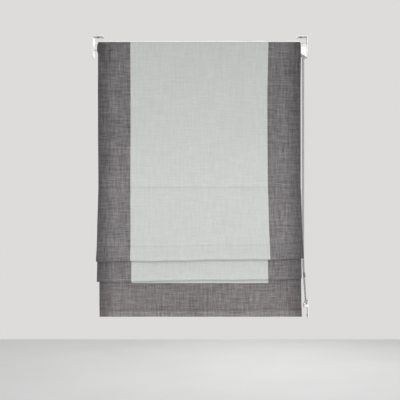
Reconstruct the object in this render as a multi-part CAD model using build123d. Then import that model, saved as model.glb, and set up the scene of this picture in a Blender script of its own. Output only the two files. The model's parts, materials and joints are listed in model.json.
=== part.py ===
from build123d import *
import math
import os

# Roman blind, millimetres.  +X to the right, +Y away from the room, +Z up.
# Origin: midway between the two ceiling screws, on the face that meets the ceiling.

# ---- cloth ----------------------------------------------------------------
blind_width = 600.0        # outer edges of the side borders
border_width = 96.0        # side borders
bottom_border_height = 103.0
face_thickness = 1.2
lining_thickness = 0.6
lining_inset = 8.0         # lining stops short of each outer edge
cloth_top = 20.0           # below the ceiling
cloth_foot = 836.0         # below the ceiling
foot_forward = 3.5         # hem, forward of the cloth at the first rod
panel_gap = 0.4            # between lengths of cloth that move apart
flap_width = 2.8           # cloth returned past the rail's left end
flap_top = 24.0
flap_foot = 51.0
flap_corner = 2.6
cloth_lean = 7.6           # how far back the cloth hangs at the first rod
rod_1_drop = 454.5
rod_2_below = 84.0         # second and third rods, below the first
rod_3_below = 100.0

# ---- headrail -------------------------------------------------------------
rail_top = 16.0            # below the ceiling
rail_height = 40.0
rail_depth = 28.0
rail_wall = 1.6
rail_slot = 20.0           # open slot along the underside
rail_short = 2.0           # rail stops short of the cloth's edge, at each end
tape_height = 25.0
tape_thickness = 1.0
fit_gap = 0.2              # pushed-in plastic pieces
running_gap = 0.05         # radial, turning pieces

# ---- drive ----------------------------------------------------------------
shaft_square = 6.0
square_gap = 0.05
spool_radius = 6.5
spool_length = 20.0
spool_play = 0.8           # spool flange inside its cassette's bay
spool_flange = 1.5
journal_radius = 5.0
journal_length = 3.2
cassette_wall = 3.0
cassette_side = 0.8        # beside the spool's bay
cassette_spacing = 190.0
cassette_foot = 1.5        # how far a cassette stands below the rail
cord_radius = 0.7
cord_clearance = 0.3

bead_diameter = 4.5
bead_pitch = 6.0
sprocket_beads = 13
sprocket_width = 7.5
groove_clearance = 0.35
sprocket_beyond = 10.0     # chain's plane on the sprocket, beyond the cloth's edge
housing_wall = 1.8
housing_clearance = 0.9
housing_floor = 3.5
cover_thickness = 2.5
housing_outer_below = 28.0  # slanted foot of the drive, below the shaft
housing_inner_below = 17.0

# ---- brackets -------------------------------------------------------------
plate = 2.0
bracket_depth = 32.0
bracket_height = 64.0
bracket_flange = 30.0
bracket_left_beyond = 16.5   # outer faces, beyond the cloth's edges
bracket_right_beyond = 22.0
screw_beyond = 3.0
screw_hole_radius = 2.25
stub_square = 10.0
stub_gap = 0.1

# ---- rods, rings ----------------------------------------------------------
rod_radius = 2.0
pocket_thickness = 0.5
pocket_play = 0.1
rod_short = 8.0            # rods stop short of the cloth's edge, at each end
ring_major = 3.5
ring_minor = 1.0
ring_neck = 1.2
bar_height = 18.0
bar_thickness = 3.0
bar_short = 6.0
hem_play = 0.3
hem_height = 21.0

# ---- chain tensioner ------------------------------------------------------
pulley_drop = 798.0
pulley_beyond = 18.5       # chain's plane on the pulley, beyond the cloth's edge
pulley_width = 8.0
pulley_groove_clearance = 0.6
chain_bend_drop = 680.0    # chain hangs plumb to here, then leans out to the pulley
chain_bend_half = 10.4     # half the distance between its two sides there
pulley_pitch_radius = 8.0
axle_radius = 2.5
tensioner_wall_beyond = 25.0
tensioner_depth = 22.0
tensioner_screw_drop = 833.0
tensioner_screw_radius = 2.0
connector_drop = 712.0
connector_length = 16.0
connector_radius = 3.4

# ---- worked out -----------------------------------------------------------
half_width = blind_width / 2
half_rail = half_width - rail_short
sprocket_plane = half_width + sprocket_beyond
pulley_plane = half_width + pulley_beyond
tensioner_wall_face = half_width + tensioner_wall_beyond
bracket_left_face = half_width + bracket_left_beyond
bracket_right_face = half_width + bracket_right_beyond
screw_x = half_width + screw_beyond
rail_front = -rail_depth / 2
rail_foot = rail_top + rail_height
shaft_drop = rail_top + rail_height / 2
housing_outer_foot = shaft_drop + housing_outer_below
housing_inner_foot = shaft_drop + housing_inner_below
bay_radius = rail_depth / 2 - rail_wall - fit_gap - cassette_side
spool_flange_radius = bay_radius - spool_play
cloth_plane = rail_front - 2 * tape_thickness - lining_thickness
seam_x = half_width - border_width
border_seam_drop = cloth_foot - bottom_border_height
cord_y = spool_radius + cord_radius + cord_clearance
pocket_radius = rod_radius + pocket_play + pocket_thickness
ring_offset = pocket_radius + ring_neck + ring_major
apex_half = 2.5            # half the width of the fold over a rod
apex_radius = 2.2
sprocket_pitch_radius = sprocket_beads * bead_pitch / (2 * math.pi)
bead_radius = bead_diameter / 2
cassette_length = spool_length + 2 * spool_flange + 2 * cassette_wall + 1.0
cassette_places = [-cassette_spacing, 0.0, cassette_spacing]

# The cloth leans back from the rail to the first rod; the pleats are placed from that line.
hang_y = cloth_plane + cloth_lean
seam_drop = rod_1_drop - pocket_radius - 0.6
rod_1 = (hang_y + lining_thickness + pocket_radius, rod_1_drop)
rod_2 = (hang_y + 1.0, rod_1_drop + rod_2_below)
rod_3 = (hang_y + 6.0, rod_1_drop + rod_3_below)


def apex_drop(rod):
    """Drop of the cloth's fold just under a rod's pocket."""
    return rod[1] + pocket_radius + lining_thickness


def pleat_point(forward, below):
    """A point forward of the hanging line and below the first rod."""
    return (hang_y - forward, -rod_1_drop - below)


# Cloth's path in (y, z), on the plane between lining and face cloth, with a corner radius for
# each inner point.
upper_path = [
    (cloth_plane, -cloth_top),
    (cloth_plane, -cloth_top - tape_height - 2.0),
    (hang_y, -seam_drop),
]
upper_radii = [90.0]

apex_2 = apex_drop(rod_2)
apex_3 = apex_drop(rod_3)
first_fold_path = [
    (hang_y, -seam_drop - panel_gap),
    pleat_point(0.0, 3.5),
    pleat_point(10.5, 20.0),
    pleat_point(27.0, 109.0),
    pleat_point(44.0, 173.0),
    pleat_point(62.0, 203.0),
    pleat_point(54.5, 211.5),
    (rod_2[0] - apex_half, -apex_2 - 4.8),
]
first_fold_radii = [4.0, 25.0, 160.0, 60.0, 5.0, 4.0]

second_fold_path = [
    (rod_2[0] - apex_half, -apex_2 - 4.0),
    (rod_2[0] - apex_half, -apex_2),
    (rod_2[0] + apex_half, -apex_2),
    (rod_2[0] + apex_half - 0.5, -apex_2 - 6.0),
    pleat_point(22.5, 197.0),
    pleat_point(33.0, 266.5),
    pleat_point(24.5, 272.5),
    (rod_3[0] - apex_half, -apex_3 - 4.8),
]
second_fold_radii = [apex_radius, apex_radius, 12.0, 110.0, 5.0, 4.0]

hem_turn = bar_thickness / 2 + hem_play
foot_y = hang_y - foot_forward
foot_z = -cloth_foot + face_thickness
hang_top = (rod_3[0] + apex_half, -apex_3 - 6.0)
hang_foot = (foot_y, foot_z + hem_height)


def on_hang(z):
    """The point at height z on the straight hang from the last rod to the hem."""
    share = (z - hang_top[1]) / (hang_foot[1] - hang_top[1])
    return (hang_top[0] + share * (hang_foot[0] - hang_top[0]), z)


seam_point = on_hang(-border_seam_drop)
apex_3_path = [
    (rod_3[0] - apex_half, -apex_3 - 4.0),
    (rod_3[0] - apex_half, -apex_3),
    (rod_3[0] + apex_half, -apex_3),
    hang_top,
]
lower_path = apex_3_path + [seam_point]
lower_lining_path = apex_3_path + [on_hang(hang_foot[1] + 8.0)]
lower_radii = [apex_radius, apex_radius, 20.0]
bottom_border_path = [
    seam_point,
    hang_foot,
    (foot_y, foot_z),
    (foot_y + 2 * hem_turn, foot_z),
    (foot_y + 2 * hem_turn, foot_z + hem_height),
]
bottom_border_radii = [200.0, hem_turn - 0.1, hem_turn - 0.1]


def save(name, shape):
    export_step(shape, "parts/" + name + ".step")


def unit(start, end):
    length = math.hypot(end[0] - start[0], end[1] - start[1])
    return ((end[0] - start[0]) / length, (end[1] - start[1]) / length)


def offset_path(points, distance):
    """Points moved to the right of the path by distance, mitred at each corner."""
    moved = []
    for index, point in enumerate(points):
        before = unit(points[index - 1], point) if index else None
        after = unit(point, points[index + 1]) if index < len(points) - 1 else None
        before = before or after
        after = after or before
        normal = (before[1] + after[1], -before[0] - after[0])
        size = math.hypot(*normal)
        normal = (normal[0] / size, normal[1] / size)
        stretch = distance / (normal[0] * after[1] - normal[1] * after[0])
        moved.append((point[0] + normal[0] * stretch, point[1] + normal[1] * stretch))
    return moved


def offset_radii(points, radii, distance):
    """Corner radii of the path after it is moved to its right by distance."""
    moved = []
    for index, radius in enumerate(radii):
        before = unit(points[index], points[index + 1])
        after = unit(points[index + 1], points[index + 2])
        left_turn = before[0] * after[1] - before[1] * after[0] > 0
        moved.append(radius + distance if left_turn else radius - distance)
    return moved


def curve(points, radii):
    if radii:
        return FilletPolyline(*points, radius=radii)
    return Polyline(*points)


def path_length(points, radii):
    return curve(points, radii).length


def cloth(points, radii, near, far, left, right):
    """A length of cloth: the band between two offsets of its path, from left to right in X."""
    first = curve(offset_path(points, near), offset_radii(points, radii, near))
    second = curve(offset_path(points, far), offset_radii(points, radii, far))
    ends = [Line(first @ 0, second @ 0), Line(first @ 1, second @ 1)]
    outline = Wire([*first.edges(), *second.edges(), *ends])
    section = Plane.YZ.offset(left) * Face(outline)
    return extrude(section, amount=right - left, dir=(1, 0, 0))


def face_cloth(points, radii, left, right):
    return cloth(points, radii, 0.0, face_thickness, left, right)


def lining_cloth(points, radii):
    edge = half_width - lining_inset
    return cloth(points, radii, -lining_thickness, 0.0, -edge, edge)


def block(x_range, y_range, drop_range):
    """A box between two X, two Y and two drops below the ceiling."""
    size = (x_range[1] - x_range[0], y_range[1] - y_range[0], drop_range[1] - drop_range[0])
    middle = (sum(x_range) / 2, sum(y_range) / 2, -sum(drop_range) / 2)
    return Pos(*middle) * Box(*size)


def along_x(radius, start, end, y=0.0, drop=shaft_drop):
    """A round bar along X."""
    return Pos((start + end) / 2, y, -drop) * Rot(0, 90, 0) * Cylinder(radius, abs(end - start))


def square_bar(side, start, end, drop=shaft_drop):
    return block((start, end), (-side / 2, side / 2), (drop - side / 2, drop + side / 2))


def rod_between(start, end, radius):
    """A round bar from one point to another."""
    line = Line(start, end)
    return sweep(Plane(origin=line @ 0, z_dir=line % 0) * Circle(radius), path=line)


# ---- headrail group -------------------------------------------------------
def make_headrail():
    outer = block((-half_rail, half_rail), (rail_front, -rail_front), (rail_top, rail_foot))
    inside = rail_depth / 2 - rail_wall
    drops = (rail_top + rail_wall, rail_foot - rail_wall)
    hollow = block((-half_rail, half_rail), (-inside, inside), drops)
    slot = block((-half_rail, half_rail), (-rail_slot / 2, rail_slot / 2), (drops[1], rail_foot))
    return outer - hollow - slot


def make_rail_plug(start, end):
    """The part of an end piece that pushes into the rail."""
    half = rail_depth / 2 - rail_wall - fit_gap
    drops = (rail_top + rail_wall + fit_gap, rail_foot - rail_wall - fit_gap)
    return block((start, end), (-half, half), drops)


def make_left_end_cap():
    flange = block((-half_rail - 3.0, -half_rail), (rail_front, -rail_front), (rail_top, rail_foot))
    flange = fillet(flange.edges().filter_by(Axis.X), 2.0)
    plug = make_rail_plug(-half_rail, -half_rail + 10.0)
    recess_half = rail_depth / 2 - 5.0
    recess_drops = (rail_top + 6.0, rail_foot - 6.0)
    recess = block((-half_rail + 1.0, -half_rail + 10.0), (-recess_half, recess_half), recess_drops)
    stub = square_bar(stub_square, -bracket_left_face - 0.5, -half_rail - 3.0)
    return flange + (plug - recess) + stub


def make_bracket(outer_face, side):
    """An angle bracket; side is -1 at the left end and 1 at the right."""
    half = bracket_depth / 2
    inner = outer_face - plate
    flange_ends = sorted((side * outer_face, side * (outer_face - bracket_flange)))
    web_faces = sorted((side * outer_face, side * inner))
    flange = block(flange_ends, (-half, half), (0, plate))
    web = block(web_faces, (-half, half), (0, bracket_height))
    angle = flange + web
    foot_corners = angle.edges().filter_by(Axis.X).group_by(Axis.Z)[0]
    angle = fillet(foot_corners, 6.0)
    screw = Pos(side * screw_x, 0, -plate / 2) * Cylinder(screw_hole_radius, 2 * plate)
    stub_hole = square_bar(stub_square + 2 * stub_gap, *sorted((side * (inner - 1), side * (outer_face + 1))))
    return angle - screw - stub_hole


housing_radius = sprocket_pitch_radius + bead_radius + housing_clearance + housing_wall
housing_start = half_width + 0.5
cavity_start = half_rail + housing_floor
cavity_end = sprocket_plane + sprocket_width / 2 + 2.75
cover_end = cavity_end + cover_thickness


def drive_outline(radius, start, end):
    """Round over the sprocket and straight-sided below it, as a solid along X."""
    body = along_x(radius, start, end)
    return body + block((start, end), (-radius, radius), (shaft_drop, housing_outer_foot + 5))


def slant_cut(start, end, radius):
    """What lies below the slanted foot of the drive, between two X."""
    slope = (housing_outer_foot - housing_inner_foot) / (cover_end - half_rail)
    first = housing_inner_foot + slope * (start - half_rail)
    last = housing_inner_foot + slope * (end - half_rail)
    below = housing_outer_foot + 20
    corners = [(start, -first), (end, -last), (end, -below), (start, -below)]
    outline = Polyline(*corners, close=True)
    wedge = Plane.XZ * make_face(outline)
    return Pos(0, radius + 1, 0) * extrude(wedge, amount=2 * radius + 2)


def make_drive_housing():
    body = drive_outline(housing_radius, housing_start, cavity_end)
    body -= drive_outline(housing_radius - housing_wall, cavity_start, cavity_end)
    guide_half = sprocket_pitch_radius - bead_radius - 1.2
    guide_sides = (-guide_half, guide_half)
    body += block((cavity_start - 0.5, cavity_end), guide_sides, (shaft_drop + 17.5, housing_outer_foot + 5))
    body -= slant_cut(half_rail, cavity_end, housing_radius)
    sides = (rail_front, -rail_front)
    body += block((half_rail, cavity_start), sides, (rail_top + 2.6, housing_inner_foot))
    body += make_rail_plug(half_rail - 8.0, half_rail)
    bore = along_x(journal_radius + running_gap, half_rail - 9.0, cavity_start)
    return body - bore


def make_drive_cover():
    start, end = cavity_end, cover_end
    body = drive_outline(housing_radius, start, end) - slant_cut(start, end, housing_radius)
    stub = square_bar(stub_square, end, bracket_right_face + 0.5)
    socket = along_x(4.0 + running_gap, start, start + 1.7)
    return body + stub - socket


def make_cassette(place):
    half = rail_depth / 2 - rail_wall - fit_gap
    bottom = rail_foot - rail_wall - fit_gap
    ends = (place - cassette_length / 2, place + cassette_length / 2)
    body = block(ends, (-half, half), (rail_top + rail_wall + 2.0, bottom))
    foot_half = rail_slot / 2 - fit_gap
    body += block(ends, (-foot_half, foot_half), (bottom, rail_foot + cassette_foot))
    room = (ends[0] + cassette_wall, ends[1] - cassette_wall)
    body -= along_x(bay_radius, *room)
    body -= block(room, (-bay_radius, bay_radius), (rail_top, shaft_drop))
    seat = journal_radius + running_gap
    body -= along_x(seat, ends[0] - 1, ends[1] + 1)
    body -= block((ends[0] - 1, ends[1] + 1), (-seat, seat), (rail_top, shaft_drop))
    exit_hole = Pos(place, cord_y, -(shaft_drop + rail_foot) / 2 - 5) * Cylinder(1.4, rail_foot)
    return body - exit_hole


def make_spool(place):
    half = spool_length / 2
    body = along_x(spool_radius, place - half, place + half)
    for side in (-1, 1):
        inner = place + side * half
        body += along_x(spool_flange_radius, inner, inner + side * spool_flange)
        journal_start = inner + side * spool_flange
        body += along_x(journal_radius, journal_start, journal_start + side * journal_length)
    reach = half + spool_flange + journal_length + 1
    return body - square_bar(shaft_square + 2 * square_gap, place - reach, place + reach)


def make_grooved_wheel(centre_x, drop, pitch_radius, width, clearance):
    """A wheel whose round groove clears the chain's beads."""
    slot_radius = bead_radius + clearance
    rim = pitch_radius + bead_radius + 0.25
    wheel = along_x(rim, centre_x - width / 2, centre_x + width / 2, drop=drop)
    groove = Pos(centre_x, 0, -drop) * Rot(0, 90, 0) * Torus(pitch_radius, slot_radius)
    reach = rim + 1
    slot = along_x(reach, centre_x - slot_radius, centre_x + slot_radius, drop=drop)
    slot -= along_x(pitch_radius, centre_x - slot_radius, centre_x + slot_radius, drop=drop)
    return wheel - groove - slot


def make_sprocket():
    width = sprocket_width
    wheel = make_grooved_wheel(sprocket_plane, shaft_drop, sprocket_pitch_radius, width, groove_clearance)
    left = sprocket_plane - sprocket_width / 2
    right = sprocket_plane + sprocket_width / 2
    wheel += along_x(journal_radius, half_rail - 8.0, left)
    wheel += along_x(4.0, right, cavity_end + 1.5)
    rim = sprocket_pitch_radius + bead_radius + 0.25
    for tooth in range(sprocket_beads):
        angle = 2 * math.pi * tooth / sprocket_beads
        notch_y = rim * math.cos(angle)
        notch_drop = shaft_drop - rim * math.sin(angle)
        wheel -= along_x(1.3, left - 1, right + 1, notch_y, notch_drop)
    return wheel - square_bar(shaft_square + 2 * square_gap, half_rail - 9.0, right - 1.0)


def make_drive_shaft():
    start = -cassette_spacing - cassette_length / 2 - 2.0
    return square_bar(shaft_square, start, sprocket_plane + sprocket_width / 2 - 1.5)


# ---- chain and tensioner --------------------------------------------------
chain_bend = Vector(sprocket_plane, chain_bend_half, -chain_bend_drop)
pulley_centre = Vector(pulley_plane, 0, -pulley_drop)
lower_up = (Vector(sprocket_plane, 0, -chain_bend_drop) - pulley_centre).normalized()
lower_length = math.hypot(pulley_plane - sprocket_plane, pulley_drop - chain_bend_drop)


def tangent_point(outside, radius):
    """Where a line from an outside point touches a circle about (0, 0), on its +Y side."""
    swing = math.acos(radius / math.hypot(*outside))
    angle = math.atan2(outside[1], outside[0]) - math.copysign(swing, outside[1])
    return (radius * math.cos(angle), radius * math.sin(angle))


def mirrored(point):
    return Vector(point.X, -point.Y, point.Z)


def chain_side():
    """The back side of the chain: its ends on the sprocket and pulley, and its bend."""
    top = tangent_point((chain_bend_half, shaft_drop - chain_bend_drop), sprocket_pitch_radius)
    foot = tangent_point((chain_bend_half, lower_length), pulley_pitch_radius)
    first = Vector(sprocket_plane, top[0], top[1] - shaft_drop)
    last = pulley_centre + Vector(0, foot[0], 0) + lower_up * foot[1]
    return [first, chain_bend, last]


def strand(points):
    upper = points[0] - points[1]
    lower = points[2] - points[1]
    half_turn = math.radians((180 - upper.get_angle(lower)) / 2)
    radius = 0.45 * min(upper.length, lower.length) / math.tan(half_turn)
    print("chain bend radius", round(radius))
    return FilletPolyline(*points, radius=[radius])


def front_strand():
    return strand([mirrored(point) for point in chain_side()])


def chain_path():
    """Over the sprocket, down the front, round the pulley and up the back."""
    back = chain_side()
    front = [mirrored(point) for point in back]
    crown = Vector(sprocket_plane, 0, sprocket_pitch_radius - shaft_drop)
    bottom = pulley_centre - lower_up * pulley_pitch_radius
    pieces = [
        *ThreePointArc(back[0], crown, front[0]).edges(),
        *strand(front).edges(),
        *ThreePointArc(front[2], bottom, back[2]).edges(),
        *strand(back).edges(),
    ]
    return Wire(pieces)


def make_bead_chain(path):
    start = Plane(origin=path @ 0, z_dir=path % 0)
    return sweep(start * Circle(bead_radius), path=path)


def make_connector():
    side = front_strand()
    along = connector_drop - shaft_drop
    centre = side.position_at(along, position_mode=PositionMode.LENGTH)
    heading = side.tangent_at(along, position_mode=PositionMode.LENGTH)
    bore = Cylinder(bead_radius + running_gap, connector_length + 2)
    return Plane(origin=centre, z_dir=heading) * (Cylinder(connector_radius, connector_length) - bore)


def make_tensioner_body():
    wall = (tensioner_wall_face - plate, tensioner_wall_face)
    half = tensioner_depth / 2
    foot = tensioner_screw_drop + 9
    base = block(wall, (-half, half), (pulley_drop - 12, foot))
    base = fillet(base.edges().filter_by(Axis.X), 5.0)
    rim = pulley_pitch_radius + bead_radius + 0.25
    guard_start = pulley_plane - pulley_width / 2 - 2.5
    guard = along_x(rim + 2.2, guard_start, wall[0], drop=pulley_drop)
    guard -= along_x(rim + 0.8, guard_start - 1, wall[0] + 1, drop=pulley_drop)
    upper = (pulley_drop - 30, pulley_drop + 1)
    guard -= block((guard_start - 1, wall[0] + 1), (-30, 30), upper)
    boss = along_x(4.5, wall[0], pulley_plane + pulley_width / 2 + 0.3, drop=pulley_drop)
    screw = along_x(tensioner_screw_radius, wall[0] - 1, wall[1] + 1, drop=tensioner_screw_drop)
    axle_hole = along_x(axle_radius, guard_start, wall[1] - 0.6, drop=pulley_drop)
    return base + guard + boss - screw - axle_hole


def make_tensioner_axle():
    pulley_start = pulley_plane - pulley_width / 2
    pin = along_x(axle_radius, pulley_start - 0.3, tensioner_wall_face - 0.6, drop=pulley_drop)
    return pin + along_x(4.2, pulley_start - 1.8, pulley_start - 0.3, drop=pulley_drop)


def make_tensioner_pulley():
    clearance = pulley_groove_clearance
    wheel = make_grooved_wheel(pulley_plane, pulley_drop, pulley_pitch_radius, pulley_width, clearance)
    ends = (pulley_plane - pulley_width, pulley_plane + pulley_width)
    return wheel - along_x(axle_radius + running_gap, *ends, drop=pulley_drop)


# ---- cloth, rods and cords ------------------------------------------------
def make_flap():
    """The border's return past the rail's left end."""
    width = flap_width + flap_corner
    height = flap_foot - flap_top
    centre = (-half_width - flap_width + width / 2, -(flap_top + flap_foot) / 2)
    outline = Pos(*centre) * RectangleRounded(width, height, flap_corner - 0.1)
    flap = extrude(Plane.XZ.offset(-cloth_plane) * outline, amount=face_thickness)
    return flap & block((-half_width - flap_width, -half_width), (-100, 0), (flap_top, flap_foot))


def make_borders_and_panel(prefix, points, radii):
    save(prefix + "_centre_panel", face_cloth(points, radii, -seam_x, seam_x))
    left = face_cloth(points, radii, -half_width, -seam_x)
    if prefix == "upper":
        left += make_flap()
    save(prefix + "_left_border", left)
    save(prefix + "_right_border", face_cloth(points, radii, seam_x, half_width))


def make_rod_group(number, rod):
    y, drop = rod
    reach = half_width - rod_short
    save("rod_" + number, along_x(rod_radius, -reach, reach, y, drop))
    sleeve = along_x(pocket_radius, -reach - 2, reach + 2, y, drop)
    bore = along_x(rod_radius + pocket_play, -reach - 3, reach + 3, y, drop)
    save("rod_pocket_" + number, sleeve - bore)
    rings = []
    for place in cassette_places:
        ring = Pos(place, y + ring_offset, -drop) * Torus(ring_major, ring_minor)
        neck_end = y + ring_offset - ring_major
        neck = block((place - 2, place + 2), (y + pocket_radius, neck_end), (drop - 0.8, drop + 0.8))
        rings.append(ring + neck)
    save("cord_rings_" + number, Compound(children=rings))


def make_cords(name, start, end):
    """One lift cord at each cassette, between two (y, drop) places."""
    cords = []
    for place in cassette_places:
        first = (place, start[0], -start[1])
        last = (place, end[0], -end[1])
        cords.append(rod_between(first, last, cord_radius))
    save(name, Compound(children=cords))


def ring_centre(rod, shift=0.0):
    return (rod[0] + ring_offset, rod[1] + shift)


os.makedirs("parts", exist_ok=True)

save("headrail", make_headrail())
save("left_end_cap", make_left_end_cap())
save("left_bracket", make_bracket(bracket_left_face, -1))
save("right_bracket", make_bracket(bracket_right_face, 1))
save("drive_housing", make_drive_housing())
save("drive_cover", make_drive_cover())

tape_drops = (cloth_top + 1.0, cloth_top + 1.0 + tape_height)
tape_ends = (-half_rail + 2, half_rail - 2)
save("hook_strip", block(tape_ends, (rail_front - tape_thickness, rail_front), tape_drops))
loop_y = (rail_front - 2 * tape_thickness, rail_front - tape_thickness)
save("loop_strip", block(tape_ends, loop_y, tape_drops))

for side_name, place in zip(("left", "centre", "right"), cassette_places):
    save(side_name + "_cord_cassette", make_cassette(place))
    save(side_name + "_cord_spool", make_spool(place))

save("drive_shaft", make_drive_shaft())
save("chain_sprocket", make_sprocket())
chain = chain_path()
save("bead_chain", make_bead_chain(chain))
save("chain_connector", make_connector())
save("tensioner_body", make_tensioner_body())
save("tensioner_axle", make_tensioner_axle())
save("tensioner_pulley", make_tensioner_pulley())

make_borders_and_panel("upper", upper_path, upper_radii)
make_borders_and_panel("first_fold", first_fold_path, first_fold_radii)
make_borders_and_panel("second_fold", second_fold_path, second_fold_radii)
make_borders_and_panel("lower", lower_path, lower_radii)
save("upper_lining", lining_cloth(upper_path, upper_radii))
save("first_fold_lining", lining_cloth(first_fold_path, first_fold_radii))
save("second_fold_lining", lining_cloth(second_fold_path, second_fold_radii))
save("lower_lining", lining_cloth(lower_lining_path, lower_radii))
save("bottom_border", face_cloth(bottom_border_path, bottom_border_radii, -half_width, half_width))

bar_y = foot_y + hem_turn
bar_drop = cloth_foot - face_thickness - hem_play
bar_sides = (bar_y - bar_thickness / 2, bar_y + bar_thickness / 2)
bar_reach = half_width - bar_short
bar = block((-bar_reach, bar_reach), bar_sides, (bar_drop - bar_height, bar_drop))
save("bottom_bar", fillet(bar.edges().filter_by(Axis.X), 1.2))

make_rod_group("1", rod_1)
make_rod_group("2", rod_2)
make_rod_group("3", rod_3)

end_gap = panel_gap / 2
make_cords("lift_cords_upper", (cord_y, shaft_drop + 8.0), ring_centre(rod_1, -end_gap))
make_cords("lift_cords_middle", ring_centre(rod_1, end_gap), ring_centre(rod_2, -end_gap))
make_cords("lift_cords_lower", ring_centre(rod_2, end_gap), ring_centre(rod_3, ring_minor))

print("cloth from rod 1 to rod 2", path_length(first_fold_path, first_fold_radii))
print("cloth from rod 2 to rod 3", path_length(second_fold_path, second_fold_radii))
print("chain length", chain.length, "beads", chain.length / bead_pitch)
print("chain section times length", math.pi * bead_radius**2 * chain.length)
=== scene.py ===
import json
import math
import random

import bpy
import numpy as np
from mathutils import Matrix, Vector


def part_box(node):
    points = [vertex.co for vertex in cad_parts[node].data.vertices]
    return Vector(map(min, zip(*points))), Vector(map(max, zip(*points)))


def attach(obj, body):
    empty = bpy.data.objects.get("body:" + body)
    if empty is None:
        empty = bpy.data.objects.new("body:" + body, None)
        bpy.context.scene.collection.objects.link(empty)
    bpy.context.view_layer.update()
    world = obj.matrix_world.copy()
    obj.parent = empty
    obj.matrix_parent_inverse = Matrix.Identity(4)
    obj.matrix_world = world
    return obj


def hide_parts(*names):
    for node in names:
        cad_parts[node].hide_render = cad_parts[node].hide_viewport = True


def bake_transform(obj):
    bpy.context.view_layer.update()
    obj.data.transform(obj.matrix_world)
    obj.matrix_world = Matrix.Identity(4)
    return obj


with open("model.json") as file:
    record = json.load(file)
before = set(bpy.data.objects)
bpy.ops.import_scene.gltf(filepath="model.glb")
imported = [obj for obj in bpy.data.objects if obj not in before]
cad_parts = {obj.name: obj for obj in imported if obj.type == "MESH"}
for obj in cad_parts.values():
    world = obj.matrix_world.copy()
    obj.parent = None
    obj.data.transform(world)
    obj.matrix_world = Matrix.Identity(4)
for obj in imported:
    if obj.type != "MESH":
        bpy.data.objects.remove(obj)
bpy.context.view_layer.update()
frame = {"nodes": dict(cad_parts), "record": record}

nodes = frame["nodes"]
rng = random.Random(7)

# Shapes are made in millimetres, in the row frame, and become metres in make_object().
MM = 0.001

# ---- facts of the blind, as in the CAD ----
half_width = 300.0
seam_x = 204.0  # seams between the centre panel and the side borders
lining_half = 292.0
face_thickness = 1.2
lining_thickness = 0.6
rod_places = {1: (-5.8, -454.5), 2: (-8.0, -538.5), 3: (-3.0, -554.5)}
rod_bodies = {1: "rod_1_group", 2: "rod_2_group", 3: "foot"}
rod_reach = 292.0
cord_places = (-190.0, 0.0, 190.0)
cord_radius = 0.62
ring_offset = 7.3  # middles of the cord rings, behind the rods
ring_radius = 3.5
ring_wire = 1.0
pleat_line = 176.0  # a needle line on the first pleat, along the cloth from its groove

# Corners (y, z) of the path between the face cloth and the lining, and the radii of its inner
# corners. It differs from the CAD in two places: the bottom border's seam is 3 mm lower, and the
# first pleat leaves its groove more gently.
upper_points = [(-16.6, -20.0), (-16.6, -47.0), (-9.0, -451.5)]
upper_radii = [90.0]
first_points = [
    (-9.0, -451.5), (-9.0, -456.0), (-14.5, -474.5), (-36.0, -563.5), (-55.5, -627.5),
    (-71.0, -657.5), (-63.5, -666.0), (-10.5, -546.1),
]
first_radii = [12.0, 60.0, 160.0, 60.0, 5.0, 4.0]
second_points = [
    (-10.5, -546.1), (-10.5, -541.7), (-5.5, -541.7), (-6.0, -547.7), (-31.5, -651.5),
    (-42.0, -721.0), (-33.5, -727.0), (-5.5, -562.1),
]
second_radii = [2.2, 2.2, 12.0, 110.0, 5.0, 4.0]
hang_top, hang_foot = (-0.5, -563.7), (-12.5, -813.8)
hem_back, hem_bottom = -8.9, -834.8
lining_foot = -805.8


def on_hang(z):
    share = (z - hang_top[1]) / (hang_foot[1] - hang_top[1])
    return (hang_top[0] + share * (hang_foot[0] - hang_top[0]), z)


seam_point = on_hang(-736.0)
turn_points = [(-5.5, -562.1), (-5.5, -557.7), (-0.5, -557.7), hang_top]
lower_points = turn_points + [seam_point]
lower_radii = [2.2, 2.2, 20.0]
lower_lining_points = turn_points + [on_hang(lining_foot)]
border_points = [
    seam_point, hang_foot, (hang_foot[0], hem_bottom), (hem_back, hem_bottom), (hem_back, hang_foot[1]),
]
border_radii = [200.0, 1.7, 1.7]


# ---- paths ----
corner_step = math.radians(14)
same_place = 1e-6  # places closer than this are one
edge_steps = (0.5, 1.4, 3.2)


def rounded_path(points, radii, spacing=6.0):
    """Places, headings and lengths along a path whose corners are rounded."""
    corners = [np.array(p, float) for p in points]
    places, headings = [], []

    def straight(a, b):
        run = b - a
        length = float(np.hypot(*run))
        count = max(1, math.ceil(length / spacing))
        for i in range(count):
            places.append(a + run * (i / count))
            headings.append(run / length)

    start = corners[0]
    for i, radius in enumerate(radii, 1):
        before = corners[i] - corners[i - 1]
        after = corners[i + 1] - corners[i]
        before /= np.hypot(*before)
        after /= np.hypot(*after)
        turn = math.acos(float(np.clip(before @ after, -1, 1)))
        reach = radius * math.tan(turn / 2)
        left = before[0] * after[1] - before[1] * after[0] > 0
        side = 1.0 if left else -1.0
        normal = side * np.array((-before[1], before[0]))
        first = corners[i] - before * reach
        straight(start, first)
        centre = first + normal * radius
        count = max(3, math.ceil(turn / corner_step), math.ceil(radius * turn / spacing))
        for k in range(count):
            angle = turn * k / count
            swing = before * math.sin(angle) - normal * math.cos(angle)
            places.append(centre + radius * swing)
            headings.append(before * math.cos(angle) + normal * math.sin(angle))
        start = centre + radius * (before * math.sin(turn) - normal * math.cos(turn))
    straight(start, corners[-1])
    places.append(corners[-1])
    headings.append(headings[-1])
    places, headings = np.array(places), np.array(headings)
    steps = np.hypot(*np.diff(places, axis=0).T)
    keep = np.concatenate([[True], steps > same_place])
    places, headings = places[keep], headings[keep]
    lengths = np.concatenate([[0.0], np.cumsum(np.hypot(*np.diff(places, axis=0).T))])
    return places, headings, lengths


def smooth(value):
    value = np.clip(value, 0.0, 1.0)
    return value * value * (3 - 2 * value)


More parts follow.
